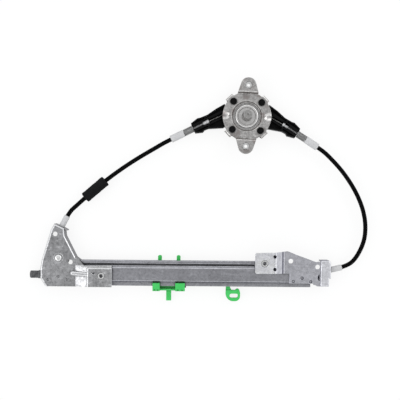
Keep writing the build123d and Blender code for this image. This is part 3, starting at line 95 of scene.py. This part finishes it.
class Surface:
    """A Principled material whose colour, roughness and relief are built up in layers."""

    def __init__(self, name, colour, roughness, metallic=0.0):
        self.material = bpy.data.materials.new(name)
        self.material.use_nodes = True
        self.nodes = self.material.node_tree.nodes
        self.links = self.material.node_tree.links
        self.shader = self.nodes["Principled BSDF"]
        self.shader.inputs["Metallic"].default_value = metallic
        self.place = self.nodes.new("ShaderNodeTexCoord").outputs["Object"]
        self.colour = (*colour, 1.0)
        self.roughness = roughness
        self.normal = None

    def set(self, **sockets):
        for name, value in sockets.items():
            self.shader.inputs[name.replace("_", " ")].default_value = value

    def noise(self, size, detail=4.0, rough=0.55, stretch=(1, 1, 1)):
        """Smooth noise whose features are about this many millimetres across."""
        mapping = self.nodes.new("ShaderNodeMapping")
        mapping.inputs["Scale"].default_value = stretch
        self.links.new(self.place, mapping.inputs["Vector"])
        texture = self.nodes.new("ShaderNodeTexNoise")
        texture.inputs["Scale"].default_value = 1.0 / (size * MM)
        texture.inputs["Detail"].default_value = detail
        texture.inputs["Roughness"].default_value = rough
        self.links.new(mapping.outputs["Vector"], texture.inputs["Vector"])
        return texture.outputs["Fac"]

    def cells(self, size, output="Color"):
        """Cells of a Voronoi texture, as a grey value for each cell or the distance to its centre."""
        texture = self.nodes.new("ShaderNodeTexVoronoi")
        texture.inputs["Scale"].default_value = 1.0 / (size * MM)
        self.links.new(self.place, texture.inputs["Vector"])
        return texture.outputs[output]

    def window(self, value, low, high):
        """Stretch a value so that low becomes zero and high becomes one."""
        remap = self.nodes.new("ShaderNodeMapRange")
        remap.inputs["From Min"].default_value = low
        remap.inputs["From Max"].default_value = high
        self.links.new(value, remap.inputs["Value"])
        return remap.outputs["Result"]

    def height_above(self, low, high):
        """Zero below the first height and one above the second, in millimetres."""
        split = self.nodes.new("ShaderNodeSeparateXYZ")
        self.links.new(self.place, split.inputs["Vector"])
        return self.window(split.outputs["Z"], low * MM, high * MM)

    def rounded(self, radius):
        """The normal that the surface would have with its edges rounded."""
        bevel = self.nodes.new("ShaderNodeBevel")
        bevel.samples = 4
        bevel.inputs["Radius"].default_value = radius * MM
        return bevel.outputs["Normal"]

    def edges(self, radius, low=0.02, high=0.25):
        """One where the surface turns sharply, zero on flat ground."""
        geometry = self.nodes.new("ShaderNodeNewGeometry")
        dot = self.nodes.new("ShaderNodeVectorMath")
        dot.operation = "DOT_PRODUCT"
        self.links.new(self.rounded(radius), dot.inputs[0])
        self.links.new(geometry.outputs["Normal"], dot.inputs[1])
        return self.window(dot.outputs["Value"], 1.0 - low, 1.0 - high)

    def creases(self, reach, low=0.90, high=0.45):
        """One deep in a groove or against another piece, zero in the open."""
        hidden = self.nodes.new("ShaderNodeAmbientOcclusion")
        hidden.samples = 6
        hidden.inputs["Distance"].default_value = reach * MM
        return self.window(hidden.outputs["AO"], low, high)

    def steep(self, low=0.78, high=0.35):
        """One on walls and cut edges, zero on surfaces that face up or down."""
        geometry = self.nodes.new("ShaderNodeNewGeometry")
        split = self.nodes.new("ShaderNodeSeparateXYZ")
        self.links.new(geometry.outputs["Normal"], split.inputs["Vector"])
        level = self.nodes.new("ShaderNodeMath")
        level.operation = "ABSOLUTE"
        self.links.new(split.outputs["Z"], level.inputs[0])
        return self.window(level.outputs["Value"], low, high)

    def tint(self, factor, colour, amount=1.0, blend="MIX"):
        """Lay a colour over the present one where the factor is high, or multiply by it there."""
        mix = self.nodes.new("ShaderNodeMix")
        mix.data_type = "RGBA"
        mix.blend_type = blend
        share = self.nodes.new("ShaderNodeMath")
        share.operation = "MULTIPLY"
        self.links.new(factor, share.inputs[0])
        share.inputs[1].default_value = amount
        self.links.new(share.outputs["Value"], mix.inputs["Factor"])
        self.feed(mix.inputs["A"], self.colour)
        mix.inputs["B"].default_value = (*colour, 1.0)
        self.colour = mix.outputs["Result"]

    def rough(self, factor, value):
        """Move the roughness towards a value where the factor is high."""
        mix = self.nodes.new("ShaderNodeMix")
        mix.data_type = "FLOAT"
        self.links.new(factor, mix.inputs["Factor"])
        self.feed(mix.inputs["A"], self.roughness)
        mix.inputs["B"].default_value = value
        self.roughness = mix.outputs["Result"]

    def relief(self, height, distance, strength=1.0):
        """Add a bump of so many millimetres."""
        bump = self.nodes.new("ShaderNodeBump")
        bump.inputs["Distance"].default_value = distance * MM
        bump.inputs["Strength"].default_value = strength
        self.links.new(height, bump.inputs["Height"])
        if self.normal is not None:
            self.links.new(self.normal, bump.inputs["Normal"])
        self.normal = bump.outputs["Normal"]

    def soften(self, radius):
        """Round the look of sharp edges."""
        self.normal = self.rounded(radius)

    def feed(self, socket, source):
        """Give a socket a plain value, or link it to another node's output."""
        if isinstance(source, (tuple, float)):
            socket.default_value = source
        else:
            self.links.new(source, socket)

    def done(self):
        self.feed(self.shader.inputs["Base Color"], self.colour)
        self.feed(self.shader.inputs["Roughness"], self.roughness)
        if self.normal is not None:
            self.links.new(self.normal, self.shader.inputs["Normal"])
        return self.material


def grey(level, red=0.0, blue=0.0):
    return level + red, level, level + blue


FLAKE = 2.6
# Colour of the shade painted into creases and against other pieces.
PAINTED_CREASE_SHADE = (0.04, 0.04, 0.042)


def zinc_sheet(name, level, contrast, streak=(1, 1, 1), warm=0.0, cool=0.0, painted_levels_by_height=(), wall_shade_steepness=(0.78, 0.35),
               crease_shade=0.85, worn=0.35, slope_light_level=None, stain=None):
    """Zinc-coated sheet: crystal flakes, cloudy patches, handling streaks, bright edges, and painted shade in
    creases and on steep sides.

    The levels by height are painted light and shade above a pair of heights, the wall setting is the steepness at
    which sides are painted dark as shade, the slope level is painted light on slanted faces, and stain is the
    colour of smudges.
    """
    s = Surface(name, grey(level, warm, cool), 0.30, 1.0)
    s.soften(0.35)
    # Painted light and shade: each height band of the part gets its own brighter or darker level.
    for low, high, painted_level in painted_levels_by_height:
        s.tint(s.height_above(low, high), grey(painted_level, warm, cool))
    s.tint(s.window(s.noise(16, 5, 0.6), 0.40, 0.66), grey(1 - 0.7 * contrast), 0.7, "MULTIPLY")
    s.tint(s.window(s.cells(FLAKE), 0.25, 0.85), grey(1 + 0.8 * contrast), 0.7, "MULTIPLY")
    s.tint(s.window(s.noise(3.4, 4, 0.65), 0.44, 0.64), grey(1 - 0.8 * contrast), 0.8, "MULTIPLY")
    s.tint(s.window(s.noise(5.0, 6, 0.7, streak), 0.54, 0.68), grey(1 + 1.1 * contrast), 0.8, "MULTIPLY")
    s.rough(s.window(s.noise(7, 4, 0.6), 0.3, 0.7), 0.40)
    s.rough(s.window(s.cells(FLAKE), 0.3, 0.9), 0.26)
    if stain is not None:
        s.tint(s.window(s.noise(15, 3, 0.5), 0.50, 0.60), stain, 0.75)
    # Painted light: slanted faces get a brighter level of their own.
    if slope_light_level is not None:
        s.tint(s.steep(0.98, 0.86), grey(slope_light_level, warm, cool), 0.85)
    s.tint(s.edges(0.5), grey(min(1.0, level * 1.5), warm, cool), worn)
    # Painted shade: steep sides and cut edges are darkened to stand in for their shade.
    s.tint(s.steep(*wall_shade_steepness), grey(level * 0.22, warm, cool), 0.9)
    # Painted shade: creases and places against other pieces are darkened by ambient occlusion.
    s.tint(s.creases(3.5), PAINTED_CREASE_SHADE, crease_shade)
    s.relief(s.noise(1.1, 3, 0.6), 0.05, 0.35)
    s.relief(s.noise(9, 2, 0.5), 0.25, 0.40)
    return s.done()


def machined_steel(name, level, roughness, tone=(0.0, 0.0)):
    """Turned or drawn steel with fine tool marks and a thin film of oil."""
    s = Surface(name, grey(level, *tone), roughness, 1.0)
    s.soften(0.2)
    s.tint(s.window(s.noise(4, 4, 0.6), 0.4, 0.7), grey(level * 0.72, *tone), 0.7)
    s.tint(s.window(s.noise(0.8, 2, 0.5), 0.5, 0.8), grey(level * 0.6, *tone), 0.35)
    s.rough(s.window(s.noise(2.5, 3, 0.6), 0.35, 0.7), roughness + 0.14)
    s.tint(s.edges(0.35), grey(min(1.0, level * 1.4), *tone), 0.55)
    # Painted shade: creases and places against other pieces are darkened.
    s.tint(s.creases(3.0), grey(level * 0.2, *tone), 0.8)
    s.relief(s.noise(0.5, 2, 0.5, (1, 1, 6)), 0.03, 0.35)
    return s.done()


def moulded(name, colour, shade, light, roughness, grain=0.9, grain_depth=0.05, edge_radius=0.3, specular=0.5):
    """Moulded plastic: fine grain, slow colour drift, scuffed edges."""
    s = Surface(name, colour, roughness)
    s.soften(edge_radius)
    s.set(Specular_IOR_Level=specular)
    s.tint(s.window(s.noise(14, 4, 0.55), 0.38, 0.7), shade, 0.6)
    s.tint(s.window(s.noise(2.2, 5, 0.65), 0.58, 0.8), light, 0.3)
    s.tint(s.edges(0.4), light, 0.55)
    # Painted shade: creases and places against other pieces get a darker copy of the shade colour.
    s.tint(s.creases(3.0), tuple(c * 0.45 for c in shade), 0.7)
    s.rough(s.window(s.noise(5, 4, 0.6), 0.3, 0.75), min(1.0, roughness + 0.16))
    s.relief(s.noise(grain, 3, 0.6), grain_depth, 0.5)
    s.relief(s.noise(11, 2, 0.5), 0.25, 0.2)
    return s.done()


def stranded(name):
    """Greased steel strand, with the lay of the wires as fine slanted relief."""
    s = Surface(name, (0.34, 0.34, 0.33), 0.34, 1.0)
    s.tint(s.window(s.noise(2.0, 4, 0.6), 0.45, 0.7), (0.16, 0.155, 0.145), 0.8)
    s.rough(s.window(s.noise(1.2, 3, 0.6), 0.35, 0.7), 0.55)
    wave = s.nodes.new("ShaderNodeTexWave")
    wave.wave_type = "BANDS"
    wave.bands_direction = "DIAGONAL"
    wave.inputs["Scale"].default_value = 0.55 / MM
    wave.inputs["Distortion"].default_value = 0.4
    s.links.new(s.place, wave.inputs["Vector"])
    s.relief(wave.outputs["Fac"], 0.12, 0.7)
    return s.done()


def foam_look(name):
    """Open-cell foam: dull, pitted, a little dusty on the high spots."""
    s = Surface(name, (0.0035, 0.0035, 0.0040), 0.92)
    s.set(Specular_IOR_Level=0.10)
    s.tint(s.window(s.cells(0.8, "Distance"), 0.1, 0.6), (0.010, 0.010, 0.011), 0.7)
    s.tint(s.window(s.noise(6, 4, 0.6), 0.5, 0.8), (0.013, 0.013, 0.014), 0.5)
    s.relief(s.cells(0.8, "Distance"), 0.35, 0.8)
    s.relief(s.noise(3.0, 4, 0.6), 0.3, 0.5)
    return s.done()


def rubber_look(name):
    """Moulded rubber with a dusty bloom."""
    s = Surface(name, (0.045, 0.045, 0.048), 0.62)
    s.soften(0.3)
    s.tint(s.window(s.noise(5, 5, 0.6), 0.42, 0.70), (0.13, 0.13, 0.135), 0.85)
    s.tint(s.edges(0.5), (0.20, 0.20, 0.21), 0.5)
    s.rough(s.window(s.noise(2.0, 4, 0.6), 0.4, 0.7), 0.8)
    s.relief(s.noise(0.9, 3, 0.6), 0.06, 0.5)
    return s.done()


LOOKS = {
    "rail_steel": zinc_sheet("rail zinc", 0.40, 0.30, (0.06, 1, 1), cool=0.03),
    "bracket_steel": zinc_sheet("bracket zinc", 0.47, 0.42, (0.5, 1, 1), cool=0.012),
    "cover_steel": zinc_sheet("cover zinc", 0.56, 0.52, warm=0.014, cool=-0.008, crease_shade=0.6,
                              stain=(0.34, 0.30, 0.29)),
    "shaft_steel": machined_steel("shaft steel", 0.42, 0.30, (0.006, -0.006)),
    "spring_steel": machined_steel("spring wire", 0.32, 0.36),
    "nut_steel": machined_steel("nut zinc", 0.74, 0.30),
    "cable_steel": stranded("cable strand"),
    "black_plastic": moulded("black plastic", (0.0028, 0.0028, 0.0030), (0.0020, 0.0020, 0.0022),
                             (0.009, 0.009, 0.010), 0.32, specular=0.10),
    "pale_plastic": moulded("natural plastic", (0.50, 0.50, 0.51), (0.43, 0.43, 0.435), (0.62, 0.62, 0.62), 0.42),
    "conduit_black": moulded("conduit coat", (0.0020, 0.0020, 0.0022), (0.0014, 0.0014, 0.0016),
                             (0.008, 0.008, 0.009), 0.30, 0.6, 0.03, specular=0.03),
    "foam": foam_look("foam"),
    "buffer_rubber": rubber_look("buffer rubber"),
    "green_plastic": moulded("green plastic", (0.045, 0.50, 0.105), (0.020, 0.40, 0.06),
                             (0.12, 0.62, 0.20), 0.36, 1.2, 0.04, 0.4),
}
# The bracket looks paint light and shade by height, on steep sides and on slanted faces; all zinc looks paint
# shade into creases.
OWN_LOOKS = {
    "right_bracket": zinc_sheet("right bracket zinc", 0.59, 0.26, (0.5, 1, 1), cool=0.045,
                                wall_shade_steepness=(0.92, 0.62),
                                painted_levels_by_height=((-4.7, -4.1, 0.84), (-3.4, -3.0, 0.56), (-0.5, -0.1, 0.95))),
    "left_bracket": zinc_sheet("left bracket zinc", 0.415, 0.54, (0.5, 1, 1), cool=0.012,
                               wall_shade_steepness=(0.66, 0.34), worn=0.75, slope_light_level=0.78,
                               painted_levels_by_height=((-4.8, -4.4, 0.50), (-1.2, -0.5, 0.47))),
    "brake_cup": zinc_sheet("cup zinc", 0.74, 0.24, warm=0.012, cool=-0.006, crease_shade=0.5),
    "pulley_rivet": machined_steel("rivet steel", 0.85, 0.26),
}

for row in frame["record"]["subparts"]:
    node = frame["nodes"][row["node"]]
    for place in node.material_slots:
        place.link = "OBJECT"
        place.material = OWN_LOOKS.get(row["node"], LOOKS[row["material_slot"]])


# Meshes

def new_piece(name, points, faces, look, body):
    mesh = bpy.data.meshes.new(name)
    mesh.from_pydata([[c * MM for c in p] for p in points], [], faces)
    mesh.validate()
    mesh.shade_smooth()
    piece = bpy.data.objects.new(name, mesh)
    bpy.context.scene.collection.objects.link(piece)
    mesh.materials.append(LOOKS[look])
    if body:
        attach(piece, body)
    return piece


def smooth_line(points, steps):
    """Points along the smooth curve that has the given corners as its control points."""
    curve = bpy.data.curves.new("route", "CURVE")
    curve.dimensions = "3D"
    curve.resolution_u = steps
    spline = curve.splines.new("NURBS")
    spline.points.add(len(points) - 1)
    for point, (x, y) in zip(spline.points, points):
        point.co = (x, y, CABLE_Z, 1.0)
    spline.order_u = 3
    spline.use_endpoint_u = True
    holder = bpy.data.objects.new("route", curve)
    mesh = bpy.data.meshes.new_from_object(holder)
    line = [v.co.copy() for v in mesh.vertices]
    bpy.data.objects.remove(holder)
    bpy.data.curves.remove(curve)
    bpy.data.meshes.remove(mesh)
    return line


def evenly(line, spacing):
    """The same line as points an even distance apart."""
    lengths = [0.0]
    for before, after in zip(line, line[1:]):
        lengths.append(lengths[-1] + (after - before).length)
    count = max(2, round(lengths[-1] / spacing))
    result = []
    i = 0
    for k in range(count + 1):
        want = lengths[-1] * k / count
        while i < len(line) - 2 and lengths[i + 1] < want:
            i += 1
        share = (want - lengths[i]) / (lengths[i + 1] - lengths[i])
        result.append(line[i].lerp(line[i + 1], min(1.0, share)))
    return result, lengths[-1] / count


def tube_skin(line, around, radius_at):
    """Points of a tube along a level line; radius_at(station, angle) gives the radius."""
    points = []
    for k, centre in enumerate(line):
        ahead = line[min(k + 1, len(line) - 1)] - line[max(k - 1, 0)]
        side = Vector((-ahead.y, ahead.x, 0)).normalized()
        for j in range(around):
            angle = 2 * math.pi * j / around
            radius = radius_at(k, angle)
            points.append(centre + side * (radius * math.cos(angle)) + Vector((0, 0, radius * math.sin(angle))))
    return points


def skin_faces(stations, around, start=0, flip=False):
    faces = []
    for k in range(stations - 1):
        for j in range(around):
            a = start + k * around + j
            b = start + k * around + (j + 1) % around
            face = (a, b, b + around, a + around)
            faces.append(tuple(reversed(face)) if flip else face)
    return faces


def hollow_tube(name, line, around, outer_at, bore, look, body):
    """A closed tube with a bore."""
    outside = tube_skin(line, around, outer_at)
    inside = tube_skin(line, around, lambda k, angle: bore)
    count = len(outside)
    last = (len(line) - 1) * around
    faces = skin_faces(len(line), around) + skin_faces(len(line), around, count, True)
    for j in range(around):
        n = (j + 1) % around
        faces.append((n, j, count + j, count + n))
        faces.append((last + j, last + n, count + last + n, count + last + j))
    return new_piece(name, outside + inside, faces, look, body)


def conduit(name, node, route):
    """Conduit with the spiral of its wound liner showing through the coat."""
    line, step = evenly(smooth_line(route, ROUTE_STEPS), CONDUIT_STEP)

    def radius(k, angle):
        wave = 0.5 - 0.5 * math.cos(2 * math.pi * k * step / RIB_PITCH - angle)
        return CONDUIT_R - RIB_DEPTH * wave ** 3

    piece = hollow_tube(name, line, CONDUIT_AROUND, radius, CONDUIT_BORE_R, "conduit_black", BASE)
    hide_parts(node)


conduit("conduit_left_ribbed", "conduit_left", LEFT_ROUTE)
conduit("conduit_right_ribbed", "conduit_right", RIGHT_ROUTE)


def foam():
    """Foam sleeve: slightly uneven, with rounded ends and shallow creases."""
    start = Vector((*FOAM_START, CABLE_Z))
    end = Vector((*FOAM_END, CABLE_Z))
    length = (end - start).length
    last = FOAM_STATIONS - 1
    line = [start.lerp(end, k / last) for k in range(FOAM_STATIONS)]

    def radius(k, angle):
        along = length * k / last
        short = max(0.0, FOAM_EDGE_R - min(along, length - along))
        rounding = FOAM_EDGE_R - math.sqrt(max(0.0, FOAM_EDGE_R ** 2 - short ** 2))
        point = Vector((along * 0.22, math.cos(angle) * 1.6, math.sin(angle) * 1.6))
        lumps = sum(size * noise.noise(point * scale) for scale, size in FOAM_LUMPS)
        creases = sum(depth * math.exp(-((along - place - lean * math.cos(angle - turn)) / width) ** 2)
                      for place, depth, width, lean, turn in FOAM_CREASES)
        return FOAM_R - FOAM_SLACK - rounding + lumps - creases

    piece = hollow_tube("foam_sleeve_soft", line, FOAM_AROUND, radius, CONDUIT_R + 0.03, "foam", BASE)
    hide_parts("foam_sleeve")


foam()


def run_cable(name, node, fixed_x, moving_x, y):
    """Straight cable behind the rail: seven wires twisted round each other."""
    wire_r = CABLE_R / 3
    skin_r = wire_r * WIRE_SWELL
    leftward = moving_x < fixed_x
    stations = int(abs(moving_x - fixed_x) / WIRE_STEP) + 1
    points = []
    faces = []
    for wire in range(OUTER_WIRES + 1):
        start = len(points)
        ring = 0.0 if wire == OUTER_WIRES else CABLE_R - wire_r
        for k in range(stations):
            x = fixed_x + (moving_x - fixed_x) * k / (stations - 1)
            turn = 2 * math.pi * (wire / OUTER_WIRES + k * WIRE_STEP / WIRE_LAY)
            cy = y + ring * math.cos(turn)
            cz = CABLE_Z + ring * math.sin(turn)
            for j in range(WIRE_AROUND):
                a = 2 * math.pi * j / WIRE_AROUND
                points.append((x, cy + skin_r * math.cos(a), cz + skin_r * math.sin(a)))
        faces += skin_faces(stations, WIRE_AROUND, start, leftward)
        first = tuple(range(start, start + WIRE_AROUND))
        last = tuple(range(start + (stations - 1) * WIRE_AROUND, start + stations * WIRE_AROUND))
        if leftward:
            faces += [first, tuple(reversed(last))]
        else:
            faces += [tuple(reversed(first)), last]
    piece = new_piece(name, points, faces, "cable_steel", None)
    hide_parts(node)
    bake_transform(piece)


run_cable("run_cable_left_wires", "run_cable_left", *LEFT_RUN)
run_cable("run_cable_right_wires", "run_cable_right", *RIGHT_RUN)


# Floor, light and camera

# Share of pure white in the floor as the camera sees it, and how much of that shows in shiny metal
FLOOR_GLOW = 0.86
GLOW_IN_METAL = 0.5
FLOOR_HALF = 4.0
PAPER = (0.86, 0.86, 0.86, 1)


def white_floor():
    """Pale floor that the camera and shiny metal see as white; a little of its shadow stays."""
    mesh = bpy.data.meshes.new("floor")
    level = (FLOOR_Z - 0.1) * MM
    corners = ((-1, -1), (1, -1), (1, 1), (-1, 1))
    mesh.from_pydata([(x * FLOOR_HALF, y * FLOOR_HALF, level) for x, y in corners], [], [(0, 1, 2, 3)])
    floor = bpy.data.objects.new("floor", mesh)
    bpy.context.scene.collection.objects.link(floor)
    material = bpy.data.materials.new("floor paper")
    material.use_nodes = True
    nodes = material.node_tree.nodes
    links = material.node_tree.links
    paper = nodes["Principled BSDF"]
    paper.inputs["Base Color"].default_value = PAPER
    paper.inputs["Roughness"].default_value = 0.9
    glow = nodes.new("ShaderNodeEmission")
    path = nodes.new("ShaderNodeLightPath")
    seen = nodes.new("ShaderNodeMath")
    seen.operation = "MAXIMUM"
    links.new(path.outputs["Is Camera Ray"], seen.inputs[0])
    links.new(path.outputs["Is Transmission Ray"], seen.inputs[1])
    mirrored = nodes.new("ShaderNodeMath")
    mirrored.operation = "MULTIPLY"
    mirrored.inputs[1].default_value = GLOW_IN_METAL
    links.new(path.outputs["Is Glossy Ray"], mirrored.inputs[0])
    either = nodes.new("ShaderNodeMath")
    either.operation = "MAXIMUM"
    links.new(seen.outputs["Value"], either.inputs[0])
    links.new(mirrored.outputs["Value"], either.inputs[1])
    share = nodes.new("ShaderNodeMath")
    share.operation = "MULTIPLY"
    share.inputs[1].default_value = FLOOR_GLOW
    links.new(either.outputs["Value"], share.inputs[0])
    mix = nodes.new("ShaderNodeMixShader")
    links.new(share.outputs["Value"], mix.inputs["Fac"])
    links.new(paper.outputs["BSDF"], mix.inputs[1])
    links.new(glow.outputs["Emission"], mix.inputs[2])
    links.new(mix.outputs["Shader"], nodes["Material Output"].inputs["Surface"])
    mesh.materials.append(material)


white_floor()


MIDDLE = (-0.09, -0.16, -0.01)


def softbox(name, place, wide, tall, power):
    """Soft rectangular lamp that points at the middle of the part."""
    light = bpy.data.lights.new(name, "AREA")
    light.shape = "RECTANGLE"
    light.size = wide
    light.size_y = tall
    light.energy = power
    lamp = bpy.data.objects.new(name, light)
    lamp.location = place
    aim = Vector(MIDDLE) - Vector(place)
    lamp.rotation_euler = aim.to_track_quat("-Z", "Y").to_euler()
    bpy.context.scene.collection.objects.link(lamp)


# A light tent: bright walls, a darker opening overhead for the camera and a dim skirt near the table.
# Each stop is the sine of the height angle and the brightness seen there.
TENT = ((0.0, 0.55), (0.12, 0.55), (0.40, 1.30), (0.88, 1.25), (0.975, 0.42), (1.0, 0.40))


def light_tent():
    """World light that gives metal something to mirror, while the camera sees plain white."""
    world = bpy.data.worlds.new("tent")
    world.use_nodes = True
    bpy.context.scene.world = world
    nodes = world.node_tree.nodes
    links = world.node_tree.links
    way = nodes.new("ShaderNodeTexCoord")
    split = nodes.new("ShaderNodeSeparateXYZ")
    links.new(way.outputs["Generated"], split.inputs["Vector"])
    ramp = nodes.new("ShaderNodeValToRGB")
    ramp.color_ramp.interpolation = "EASE"
    stops = ramp.color_ramp.elements
    while len(stops) < len(TENT):
        stops.new(0.5)
    for stop, (height, light) in zip(stops, TENT):
        stop.position = height
        stop.color = (light * 0.985, light * 0.995, light, 1.0)
    links.new(split.outputs["Z"], ramp.inputs["Fac"])
    tent = nodes["Background"]
    links.new(ramp.outputs["Color"], tent.inputs["Color"])
    white = nodes.new("ShaderNodeBackground")
    path = nodes.new("ShaderNodeLightPath")
    mix = nodes.new("ShaderNodeMixShader")
    links.new(path.outputs["Is Camera Ray"], mix.inputs["Fac"])
    links.new(tent.outputs["Background"], mix.inputs[1])
    links.new(white.outputs["Background"], mix.inputs[2])
    white.inputs["Color"].default_value = (1, 1, 1, 1)
    links.new(mix.outputs["Shader"], nodes["World Output"].inputs["Surface"])


light_tent()
softbox("key", (-1.10, -0.40, 0.98), 0.90, 0.62, 3.5)
softbox("fill", (0.90, 0.55, 0.66), 0.80, 0.40, 2.2)

# Looks straight down on the plate, as the photograph does
camera = bpy.data.cameras.new("camera")
camera.lens = 67.47
camera.sensor_width = 36.0
camera.clip_start = 0.05
camera.clip_end = 20.0
eye = bpy.data.objects.new("camera", camera)
eye.location = (-0.06715, -0.12250, 1.082)
eye.rotation_euler = (0, 0, math.radians(0.5))
bpy.context.scene.collection.objects.link(eye)
bpy.context.scene.camera = eye
bpy.context.scene.view_settings.view_transform = "Standard"
